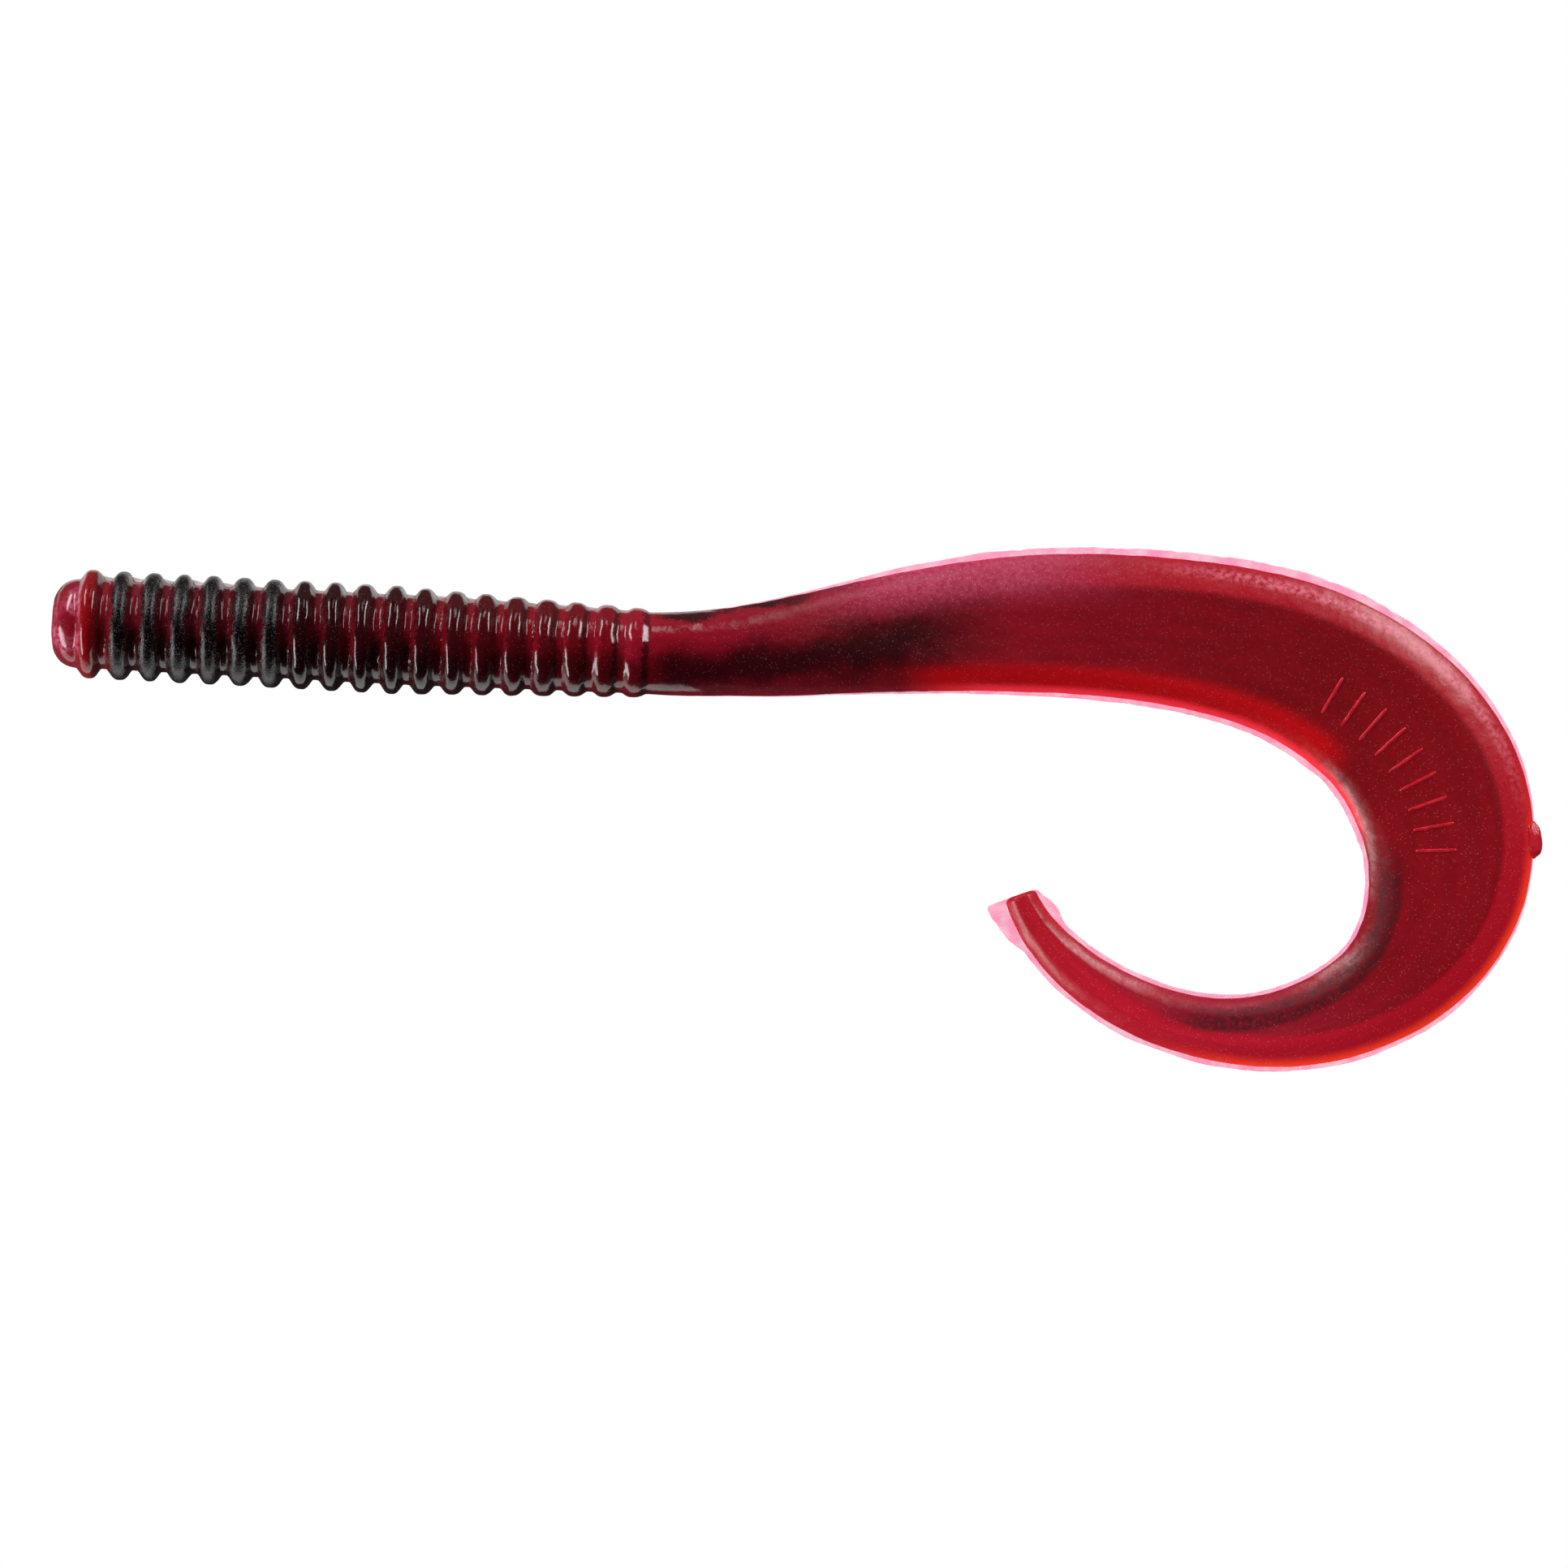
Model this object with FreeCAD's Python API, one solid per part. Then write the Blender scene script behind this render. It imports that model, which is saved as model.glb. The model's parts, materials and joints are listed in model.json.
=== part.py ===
"""Ringed curl-tail worm, a soft plastic fishing lure, lying on its side as it rests on a flat surface.

The lure is one flexible moulding. It is divided here where it flexes: the stiff rings are joined by
slender waists, and the stiff tail sections are joined by short flex sections. Every piece meets the
next one face to face, so the pieces together have the moulding's full outer shape.

Frame, in millimetres: the origin is the centre of the flat nose face, +X runs down the straight
ringed body towards the tail, +Y is to the outer side of the tail's curl, and +Z is up.
"""

import FreeCAD
import Part
import math
import os

# Nose and ringed body, along +X. The shoulder's middle is a share of its length and of its height.
NOSE_FACE_R = 1.5
NOSE_SHOULDER_X = 1.9
NOSE_SHOULDER_R = 3.4
NOSE_ROOT_R = 3.55
SHOULDER_MIDDLE = (0.27, 0.68)
RING_COUNT = 19
FIRST_RING_X = 3.0
RING_PITCH = 2.43
RING_HALF_WIDTH = 0.62
RING_CROWN = 0.5
RING_R = 4.35
LAST_RING_R = 3.6
LAST_FULL_RING = 11
WAIST_R = 3.55
LAST_WAIST_R = 3.25

# Tail: its midline starts at the last ring's rear flank. Each bend is (length, turn in degrees).
TAIL_BENDS = [
    (4.3, 5.0),
    (10.0, 6.0),
    (10.0, -2.5),
    (12.0, -8.0),
    (12.0, -10.0),
    (12.0, -26.0),
    (8.0, -27.5),
    (8.0, -34.0),
    (12.0, -50.5),
    (12.0, -36.0),
    (15.0, -38.5),
    (5.4, -25.0),
]
# Half of the tail's width, half of its thickness, and how square its section is, along the midline.
HALF_WIDTHS = [
    (0.0, 3.25),
    (4.0, 3.35),
    (13.0, 4.05),
    (29.0, 5.4),
    (45.0, 6.0),
    (61.0, 6.8),
    (69.0, 7.05),
    (77.0, 6.35),
    (85.0, 4.6),
    (93.0, 3.4),
    (101.0, 2.5),
    (112.0, 1.95),
    (120.7, 1.25),
]
HALF_THICKNESSES = [(0.0, 3.25), (6.0, 3.1), (18.0, 2.2), (34.0, 1.5), (70.0, 1.35), (95.0, 1.2), (120.7, 0.85)]
SQUARENESS = [(0.0, 2.0), (8.0, 2.05), (30.0, 2.6), (120.7, 2.4)]
DROP_START = 6.0
DROP_END = 40.0

# Flex sections of the tail, by the midline distance of their centres.
FLEX_AT = [8.0, 20.0, 32.0, 44.0, 56.0, 67.0, 78.0, 89.0, 100.0, 111.0]
FLEX_LENGTH = 2.6

SECTION_POINTS = 24
SECTION_SPACING = 1.6
PARTS_FOLDER = "parts"

TAIL_START_X = FIRST_RING_X + (RING_COUNT - 1) * RING_PITCH + RING_HALF_WIDTH
TAIL_LENGTH = sum(length for length, turn in TAIL_BENDS)
FLOOR_Z = -RING_R
X_AXIS = FreeCAD.Vector(1, 0, 0)


def between(stations, at):
    """The value at a distance, on a smooth curve through (distance, value) stations with no overshoot."""
    if at <= stations[0][0]:
        return stations[0][1]
    if at >= stations[-1][0]:
        return stations[-1][1]
    grades = [(b[1] - a[1]) / (b[0] - a[0]) for a, b in zip(stations, stations[1:])]
    slopes = [0.0]
    for before, after in zip(grades, grades[1:]):
        slopes.append(0.0 if before * after <= 0 else 2 * before * after / (before + after))
    slopes.append(grades[-1])
    k = max(i for i in range(len(grades)) if stations[i][0] <= at)
    (low, low_value), (high, high_value) = stations[k], stations[k + 1]
    span = high - low
    t = (at - low) / span
    return (
        low_value * (1 + 2 * t) * (1 - t) ** 2
        + high_value * (3 - 2 * t) * t**2
        + span * (slopes[k] * t * (1 - t) ** 2 + slopes[k + 1] * (t - 1) * t**2)
    )


def ease(low, high, at):
    """0 below low, 1 above high, and a smooth step between them."""
    t = min(max((at - low) / (high - low), 0.0), 1.0)
    return t * t * (3 - 2 * t)


def midline(at):
    """(x, y, z, heading in radians) of the tail's midline at a distance from the last ring."""
    x, y, heading = TAIL_START_X, 0.0, 0.0
    left = at
    for length, turn in TAIL_BENDS:
        run = min(left, length)
        radius = length / math.radians(turn)
        after = heading + run / radius
        x += radius * (math.sin(after) - math.sin(heading))
        y -= radius * (math.cos(after) - math.cos(heading))
        heading = after
        left -= run
        if left <= 0:
            break
    lying = FLOOR_Z + between(HALF_THICKNESSES, at)
    return x, y, lying * ease(DROP_START, DROP_END, at), heading


def tail_section(at):
    """The closed outline of the tail, square across its midline, at a distance from the last ring."""
    x, y, z, heading = midline(at)
    half_width = between(HALF_WIDTHS, at)
    half_thickness = between(HALF_THICKNESSES, at)
    power = 2 / between(SQUARENESS, at)
    points = []
    for i in range(SECTION_POINTS):
        angle = 2 * math.pi * i / SECTION_POINTS
        across = half_width * math.copysign(abs(math.cos(angle)) ** power, math.cos(angle))
        up = half_thickness * math.copysign(abs(math.sin(angle)) ** power, math.sin(angle))
        points.append(FreeCAD.Vector(x - across * math.sin(heading), y + across * math.cos(heading), z + up))
    curve = Part.BSplineCurve()
    curve.interpolate(points, PeriodicFlag=True)
    return Part.Wire([curve.toShape()])


def tail_piece(start, end):
    """The solid of the tail between two distances along its midline."""
    steps = max(2, math.ceil((end - start) / SECTION_SPACING))
    sections = [tail_section(start + (end - start) * i / steps) for i in range(steps + 1)]
    return Part.makeLoft(sections, True, False)


def turned(edges):
    """The solid that a closed half outline makes when it is turned about the body's axis."""
    face = Part.Face(Part.Wire(edges))
    return face.revolve(FreeCAD.Vector(0, 0, 0), X_AXIS, 360)


def outline_point(x, r):
    """A point of a half outline: x along the body, r from its axis."""
    return FreeCAD.Vector(x, 0, r)


def ring_x(number):
    """The x of a ring's crest. Ring 1 is next to the nose."""
    return FIRST_RING_X + (number - 1) * RING_PITCH


def tapered(number, full, last):
    """A radius that is full up to the last full ring, and then shrinks evenly to last at the last ring."""
    return full + (last - full) * max(0, number - LAST_FULL_RING) / (RING_COUNT - LAST_FULL_RING)


def ring_radius(number):
    return tapered(number, RING_R, LAST_RING_R)


def waist_radius(number):
    return tapered(number, WAIST_R, LAST_WAIST_R)


def nose():
    """A blunt plug with a flat face and a rounded shoulder, up to the first ring."""
    root_x = FIRST_RING_X - RING_HALF_WIDTH
    along, out = SHOULDER_MIDDLE
    corner = outline_point(NOSE_SHOULDER_X * along, NOSE_FACE_R + (NOSE_SHOULDER_R - NOSE_FACE_R) * out)
    shoulder = Part.Arc(outline_point(0, NOSE_FACE_R), corner, outline_point(NOSE_SHOULDER_X, NOSE_SHOULDER_R))
    return turned(
        [
            Part.makeLine(outline_point(0, 0), outline_point(0, NOSE_FACE_R)),
            shoulder.toShape(),
            Part.makeLine(outline_point(NOSE_SHOULDER_X, NOSE_SHOULDER_R), outline_point(root_x, NOSE_ROOT_R)),
            Part.makeLine(outline_point(root_x, NOSE_ROOT_R), outline_point(root_x, 0)),
            Part.makeLine(outline_point(root_x, 0), outline_point(0, 0)),
        ]
    )


def ring(number):
    """A disc with flat flanks and a crowned rim."""
    middle, radius = ring_x(number), ring_radius(number)
    front, rear, shoulder = middle - RING_HALF_WIDTH, middle + RING_HALF_WIDTH, radius - RING_CROWN
    if number == RING_COUNT:
        shoulder = max(shoulder, LAST_WAIST_R)
    rim = Part.Arc(outline_point(front, shoulder), outline_point(middle, radius), outline_point(rear, shoulder))
    return turned(
        [
            Part.makeLine(outline_point(front, 0), outline_point(front, shoulder)),
            rim.toShape(),
            Part.makeLine(outline_point(rear, shoulder), outline_point(rear, 0)),
            Part.makeLine(outline_point(rear, 0), outline_point(front, 0)),
        ]
    )


def waist(number):
    """The slender neck between a ring and the next one."""
    front = ring_x(number) + RING_HALF_WIDTH
    length = RING_PITCH - 2 * RING_HALF_WIDTH
    return Part.makeCylinder(waist_radius(number), length, outline_point(front, 0), X_AXIS)


def all_pieces():
    """Every piece by its name."""
    pieces = {"nose": nose()}
    for number in range(1, RING_COUNT + 1):
        pieces[f"ring_{number:02d}"] = ring(number)
    for number in range(1, RING_COUNT):
        pieces[f"waist_{number:02d}"] = waist(number)
    half = FLEX_LENGTH / 2
    starts = [0.0] + [centre + half for centre in FLEX_AT]
    ends = [centre - half for centre in FLEX_AT] + [TAIL_LENGTH]
    names = ["neck"] + [f"tail_{number:02d}" for number in range(1, len(FLEX_AT) + 1)]
    for name, start, end in zip(names, starts, ends):
        pieces[name] = tail_piece(start, end)
    for number, centre in enumerate(FLEX_AT, 1):
        pieces[f"tail_flex_{number:02d}"] = tail_piece(centre - half, centre + half)
    return pieces


def main():
    os.makedirs(PARTS_FOLDER, exist_ok=True)
    for name, shape in all_pieces().items():
        shape.exportStep(os.path.join(PARTS_FOLDER, name + ".step"))


if __name__ == "__main__":
    main()
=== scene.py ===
"""A ringed curl-tail worm of soft plastic: its moulded skin, flash, pigment, and the studio round it.

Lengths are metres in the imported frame: the nose face is at the origin, the ringed body runs along +X,
the tail curls towards -Y, and the worm lies on its side with +Z up. The whole outside is one run of
sections from the nose to the tail's tip, cut into one closed piece for each place where it flexes.
"""

import json
import math

import bmesh
import bpy
import numpy as np
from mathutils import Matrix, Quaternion, Vector, noise

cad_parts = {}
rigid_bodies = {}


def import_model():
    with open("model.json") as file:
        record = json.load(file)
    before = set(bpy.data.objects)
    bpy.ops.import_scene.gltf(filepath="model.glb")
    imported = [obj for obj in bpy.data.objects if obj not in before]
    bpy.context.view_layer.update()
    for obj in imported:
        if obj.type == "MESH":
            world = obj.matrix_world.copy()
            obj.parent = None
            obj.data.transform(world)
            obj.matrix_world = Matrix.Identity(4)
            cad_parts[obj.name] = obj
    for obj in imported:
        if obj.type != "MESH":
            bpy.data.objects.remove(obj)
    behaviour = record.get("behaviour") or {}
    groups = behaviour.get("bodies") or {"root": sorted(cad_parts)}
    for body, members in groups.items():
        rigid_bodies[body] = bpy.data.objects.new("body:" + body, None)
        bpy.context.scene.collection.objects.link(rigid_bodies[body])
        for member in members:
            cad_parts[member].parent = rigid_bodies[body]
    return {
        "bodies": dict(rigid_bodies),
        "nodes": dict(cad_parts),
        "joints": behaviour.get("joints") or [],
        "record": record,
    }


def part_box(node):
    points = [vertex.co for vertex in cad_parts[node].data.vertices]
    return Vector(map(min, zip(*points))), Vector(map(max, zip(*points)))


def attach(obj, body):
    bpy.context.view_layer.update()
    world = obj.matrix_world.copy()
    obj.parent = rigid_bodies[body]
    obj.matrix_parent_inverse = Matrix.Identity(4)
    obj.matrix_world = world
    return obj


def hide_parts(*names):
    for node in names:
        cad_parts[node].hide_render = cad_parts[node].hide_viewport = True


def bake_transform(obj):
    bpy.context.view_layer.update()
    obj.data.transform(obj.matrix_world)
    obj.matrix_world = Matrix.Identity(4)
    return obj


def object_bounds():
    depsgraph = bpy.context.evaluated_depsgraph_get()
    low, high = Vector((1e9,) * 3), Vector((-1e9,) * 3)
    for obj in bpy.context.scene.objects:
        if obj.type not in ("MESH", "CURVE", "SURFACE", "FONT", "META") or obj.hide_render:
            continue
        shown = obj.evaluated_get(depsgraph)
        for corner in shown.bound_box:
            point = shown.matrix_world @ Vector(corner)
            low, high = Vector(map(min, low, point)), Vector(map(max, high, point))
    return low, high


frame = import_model()
cad_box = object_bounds()

MM = 0.001
UP = Vector((0, 0, 1))

# How finely the skin is divided.
AROUND = 96
ROWS_PER_RING = 28
TAIL_ROW = 0.3 * MM
NOSE_ROWS = 26
TIP_ROWS = 10
FLASH_AROUND = 10

# The rings: how far out a crest's flank reaches the groove, how full its dome is, how soft its foot is,
# and how far and how often a ring strays from a true circle.
FLANK_HALF = 1.04 * MM
DOME_FULLNESS = 2.9
FOOT_SOFTNESS = 2.0
RING_WOBBLE = 0.22 * MM
WOBBLES_PER_METRE = 420.0

# The share of the nose's length that its rounded shoulder takes, how far and how often the whole skin is
# uneven, and how near two points of it lie to be made one.
NOSE_SHOULDER = 0.8
UNEVENNESS = 0.12 * MM
LUMPS_PER_METRE = 750.0
MERGE_DISTANCE = 0.001 * MM

# The tail's section, by the share of its length: how much of each half width is bevel, and how round
# the bevel is (2 is a quarter ellipse and 1 is a flat chamfer). The tip's end is rounded off.
OUTER_BEVEL = [(0, 1.0), (0.08, 1.0), (0.24, 0.55), (0.5, 0.42), (0.75, 0.6), (1, 0.62)]
INNER_BEVEL = [(0, 1.0), (0.08, 1.0), (0.24, 0.34), (0.5, 0.24), (0.75, 0.5), (1, 0.62)]
BEVEL_ROUNDNESS = [(0, 2.0), (0.1, 1.9), (0.3, 1.3), (1, 1.3)]
TIP_ROUNDING = 0.35 * MM

# Half of the length over which the skin would bend at a hinge; carry() works out a reach from it that nothing
# uses.
RIB_BEND = 0.85 * MM
TAIL_BEND = 3.5 * MM

# The flash: a thin clear film round the parting line. In the grooves it is a share of the ring's
# height; on the tail it is (share of the tail's length, width in millimetres).
GROOVE_WEB = [(1, 0.75), (5, 0.6), (7, 0.2), (11, 0.25), (13, 0.5), (17, 0.5), (19, 0.3)]
OUTER_FLASH = [
    (0.0, 0.0),
    (0.1, 0.1),
    (0.2, 0.45),
    (0.45, 0.6),
    (0.55, 0.3),
    (0.62, 0.08),
    (0.72, 0.35),
    (0.965, 0.4),
    (0.985, 1.2),
    (1.0, 1.6),
]
INNER_FLASH = [
    (0.0, 0.0),
    (0.14, 0.12),
    (0.3, 0.35),
    (0.5, 0.45),
    (0.75, 0.3),
    (0.96, 0.35),
    (0.98, 0.8),
    (1.0, 0.2),
]
FLASH_THICKNESS = 0.1 * MM
FLASH_ROOT = 0.35 * MM
FLASH_RAGGEDNESS = 0.35

# Raised marks on the tail's upper face, and the stub that the mould's gate leaves on its outer edge.
MARK_SHARES = (0.47, 0.61)
MARK_COUNT = 9
MARK_SIZE = Vector((0.26, 3.4, 0.22)) * MM
MARK_OFFSET = -1.2 * MM
GATE_SHARE = 0.607
GATE_SIZE = Vector((1.5, 0.65, 0.6)) * MM

# The studio: the camera's distance and view, the table, the room, and the two glowing cards beside the
# ringed body. Each card is (near y, far y, glow). Each softbox is (name, offset from the worm's middle,
# width, height, brightness, lean in degrees).
SENSOR_WIDTH = 36.0
CAMERA_DISTANCE = 0.6
VIEW_WIDTH = 0.1256
VIEW_OFFSET = Vector((-0.72, 0.44, 0)) * MM
CAMERA_TURN = 3.0
TABLE_SIZE = 1.6
TABLE_GAP = 0.05 * MM
TABLE_WHITE = 0.15
CARD_START = -0.02
CARD_OVERHANG = 0.005
FRONT_CARD = (-0.055, -0.0115, 1.6)
BACK_CARD = (0.0044, 0.0074, 0.8)
ROOM_LEVEL = 0.006
SOFTBOXES = [
    ("back_right_softbox", (0.314, 0.374, 0.18), 0.1, 0.38, 12.0, 28),
    ("back_left_softbox", (-0.314, 0.374, 0.18), 0.1, 0.38, 11.0, -28),
    ("back_softbox", (0.0, 0.49, 0.15), 0.05, 0.18, 4.0, 0),
    ("left_softbox", (-0.43, -0.24, 0.11), 0.42, 0.12, 10.0, 0),
]


# ---- measures taken from the frame


def between(stations, at):
    """The value at a distance, on a smooth curve through (distance, value) stations with no overshoot."""
    if at <= stations[0][0]:
        return stations[0][1]
    if at >= stations[-1][0]:
        return stations[-1][1]
    grades = [(b[1] - a[1]) / (b[0] - a[0]) for a, b in zip(stations, stations[1:])]
    slopes = [grades[0]]
    for before, after in zip(grades, grades[1:]):
        slopes.append(0.0 if before * after <= 0 else 2 * before * after / (before + after))
    slopes.append(grades[-1])
    k = max(i for i in range(len(grades)) if stations[i][0] <= at)
    (low, low_value), (high, high_value) = stations[k], stations[k + 1]
    t = (at - low) / (high - low)
    rise = slopes[k] * t * (1 - t) ** 2 + slopes[k + 1] * (t - 1) * t**2
    return low_value * (1 + 2 * t) * (1 - t) ** 2 + high_value * (3 - 2 * t) * t**2 + rise * (high - low)


def node_radius(node):
    low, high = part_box(node)
    return (high[2] - low[2]) / 2


RINGS = sorted(name for name in frame["nodes"] if name.startswith("ring_"))
WAISTS = sorted(name for name in frame["nodes"] if name.startswith("waist_"))
FLEXES = sorted(name for name in frame["nodes"] if name.startswith("tail_flex_"))
STIFFS = ["neck"] + [name.replace("flex_", "") for name in FLEXES]
CRESTS = [(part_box(name)[0][0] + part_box(name)[1][0]) / 2 for name in RINGS]
RING_PITCH = (CRESTS[-1] - CRESTS[0]) / (len(CRESTS) - 1)
BODY_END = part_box(RINGS[-1])[1][0]
CREST_RADII = [(crest, node_radius(name)) for crest, name in zip(CRESTS, RINGS)]
WAIST_RADII = [(crest + RING_PITCH / 2, node_radius(name)) for crest, name in zip(CRESTS, WAISTS)]
PARENTS = {joint["child"]: joint["parent"] for joint in frame["joints"]}
ROOT_BODY = next(body for body in frame["bodies"] if body in PARENTS.values() and body not in PARENTS)


def flat_ends(node):
    """The two flat upright ends of a piece: each is (centre, outward normal, half width, half thickness)."""
    mesh = frame["nodes"][node].data
    upright = [face for face in mesh.polygons if abs(face.normal.z) < 0.001]
    areas = {}
    for face in upright:
        turn = round(math.atan2(face.normal.y, face.normal.x), 2)
        areas[turn] = areas.get(turn, 0) + face.area
    largest = sorted(areas, key=areas.get, reverse=True)
    opposite = next(turn for turn in largest if math.cos(turn - largest[0]) < 0)
    ends = []
    for turn in (largest[0], opposite):
        facing = Vector((math.cos(turn), math.sin(turn), 0))
        faces = [face for face in upright if face.normal.dot(facing) > 0.9998]
        normal = sum((face.normal * face.area for face in faces), Vector()).normalized()
        across = UP.cross(normal)
        points = [mesh.vertices[i].co for face in faces for i in face.vertices]
        sides = [point.dot(across) for point in points]
        heights = [point.z for point in points]
        centre = across * ((max(sides) + min(sides)) / 2) + normal * points[0].dot(normal)
        centre.z = (max(heights) + min(heights)) / 2
        ends.append((centre, normal, (max(sides) - min(sides)) / 2, (max(heights) - min(heights)) / 2))
    return ends


def tail_stations():
    """(distance along, centre, heading, half width, half thickness) at each joint face of the tail."""
    names = [name for pair in zip(STIFFS, FLEXES) for name in pair] + [STIFFS[-1]]
    start = min(flat_ends(names[0]), key=lambda end: end[0].x)
    stations = [(BODY_END, start[0], -start[1], start[2], start[3])]
    for name in names:
        along, before, heading = stations[-1][:3]
        end = max(flat_ends(name), key=lambda end: (end[0] - before).length)
        half_turn = heading.angle(end[1]) / 2
        chord = (end[0] - before).xy.length
        arc = chord * half_turn / math.sin(half_turn) if half_turn > 0.001 else chord
        stations.append((along + arc, *end))
    return stations


TAIL = tail_stations()
TAIL_END = TAIL[-1][0]
TAIL_HEIGHTS = [(station[0], station[1].z) for station in TAIL]
TAIL_WIDTHS = [(station[0], station[3]) for station in TAIL]
TAIL_THICKNESSES = [(station[0], station[4]) for station in TAIL]
FLEX_FACES = [(TAIL[2 * k + 1][0], TAIL[2 * k + 2][0]) for k in range(len(FLEXES))]
HINGES = [crest + RING_PITCH / 2 for crest in CRESTS[:-1]] + [(low + high) / 2 for low, high in FLEX_FACES]
SEAMS = CRESTS + [(a[1] + b[0]) / 2 for a, b in zip(FLEX_FACES, FLEX_FACES[1:])]


def midline(along):
    """(centre, direction across to the curl's outer side) of the worm at a distance from the nose."""
    if along <= BODY_END:
        return Vector((along, 0, 0)), Vector((0, 1, 0))
    k = max(i for i in range(len(TAIL) - 1) if TAIL[i][0] <= along)
    (low, start, start_heading), (high, end, end_heading) = TAIL[k][:3], TAIL[k + 1][:3]
    span = high - low
    t = min((along - low) / span, 1.0)
    place = start * (1 + 2 * t) * (1 - t) ** 2 + end * (3 - 2 * t) * t**2
    place += (start_heading * (t * (1 - t) ** 2) + end_heading * ((t - 1) * t**2)) * span
    heading = (end - start) * (6 * t * (1 - t) / span)
    heading += start_heading * ((1 - t) * (1 - 3 * t)) + end_heading * (t * (3 * t - 2))
    place.z = between(TAIL_HEIGHTS, along)
    heading.z = 0
    return place, UP.cross(heading.normalized())


def tail_share(along):
    return min(max((along - BODY_END) / (TAIL_END - BODY_END), 0.0), 1.0)


def ring_number(along):
    return (along - CRESTS[0]) / RING_PITCH + 1


# ---- rows of the skin


def nose_radius(along):
    """The nose's rounded shoulder, from its flat face to its root."""
    face = min(flat_ends("nose"), key=lambda end: end[0].x)[2]
    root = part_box("nose")[1][0]
    t = min(along / (root * NOSE_SHOULDER), 1.0)
    return face + (node_radius("nose") - face) * math.sqrt(1 - (1 - t) ** 2)


def section(along):
    """(half width, half thickness, ring height) of the skin at a distance from the nose."""
    if along < CRESTS[0]:
        base = nose_radius(along)
        return base, base, CREST_RADII[0][1] - base
    if along < CRESTS[-1]:
        base = between(WAIST_RADII, along)
        return base, base, between(CREST_RADII, along) - base
    half_width, half_thickness = between(TAIL_WIDTHS, along), between(TAIL_THICKNESSES, along)
    return half_width, half_thickness, max(CREST_RADII[-1][1] - half_width, 0.0)


def skin_rows():
    """(rows, seam rows): the skin's rows, each (distance, share of its section), and which are seams."""
    rows = [(0.0, k / 6) for k in range(1, 6)]
    rows += [(CRESTS[0] * (k / NOSE_ROWS) ** 1.5, 1.0) for k in range(NOSE_ROWS)]
    seam_rows = []
    stops = SEAMS + [TAIL_END - TIP_ROUNDING]
    for low, high in zip(stops, stops[1:]):
        seam_rows.append(len(rows))
        count = ROWS_PER_RING if high <= CRESTS[-1] else math.ceil((high - low) / TAIL_ROW)
        rows += [(low + (high - low) * k / count, 1.0) for k in range(count)]
    for k in range(TIP_ROWS + 1):
        turn = math.pi / 2 * k / TIP_ROWS
        rows.append((TAIL_END - TIP_ROUNDING * (1 - math.sin(turn)), 0.55 + 0.45 * math.cos(turn)))
    return rows, seam_rows


ROWS, SEAM_ROWS = skin_rows()


def spine_mesh(name, points):
    """A mesh with one vertex for each row, which carries the row's measures as attributes."""
    mesh = bpy.data.meshes.new(name)
    mesh.from_pydata([point["place"] for point in points], [], [])
    for key in [key for key in points[0] if key not in ("place", "across")]:
        measure = mesh.attributes.new(key, "FLOAT", "POINT")
        measure.data.foreach_set("value", [point[key] for point in points])
    across = mesh.attributes.new("across", "FLOAT_VECTOR", "POINT")
    across.data.foreach_set("vector", [number for point in points for number in point["across"]])
    return mesh


def skin_spine():
    points = []
    for along, share_of_section in ROWS:
        place, across = midline(along)
        half_width, half_thickness, ring_height = section(along)
        share = tail_share(along)
        points.append(
            {
                "place": place,
                "across": across,
                "along": along,
                "half_width": half_width * share_of_section,
                "half_thickness": half_thickness * share_of_section,
                "outer_bevel": between(OUTER_BEVEL, share),
                "inner_bevel": between(INNER_BEVEL, share),
                "roundness": between(BEVEL_ROUNDNESS, share),
                "ring_height": ring_height,
            }
        )
    return spine_mesh("skin_spine", points)


def flash_reach(along, side):
    """How far the flash stands out of the skin's section, on the curl's outer side (1) or inner side (-1)."""
    if along < BODY_END:
        past_crest = ring_number(along) % 1
        web = between(GROOVE_WEB, ring_number(along)) * (1 - 0.9 * past_crest)
        reach = section(along)[2] * web if side > 0 else 0.0
    else:
        reach = between(OUTER_FLASH if side > 0 else INNER_FLASH, tail_share(along)) * MM
    place = along / MM
    ragged = noise.noise(Vector((place * 0.3, side * 3.0, 0)))
    ragged += 0.4 * noise.noise(Vector((place * 1.6, 0, side)))
    return reach * (1 + FLASH_RAGGEDNESS * ragged)


def flash_spine(side):
    """The middle of the flash on one side, as rows that match the skin's."""
    points = []
    for along, share_of_section in ROWS:
        place, across = midline(along)
        edge = section(along)[0] * share_of_section
        reach = max(flash_reach(along, side), 0.0) + FLASH_ROOT
        points.append(
            {
                "place": place + across * (side * (edge - FLASH_ROOT + reach / 2)),
                "across": across,
                "along": along,
                "half_width": reach / 2,
                "half_thickness": FLASH_THICKNESS / 2,
                "outer_bevel": 1.0,
                "inner_bevel": 1.0,
                "roundness": 2.0,
                "ring_height": 0.0,
            }
        )
    return spine_mesh("flash_spine", points)


# ---- node building


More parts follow.
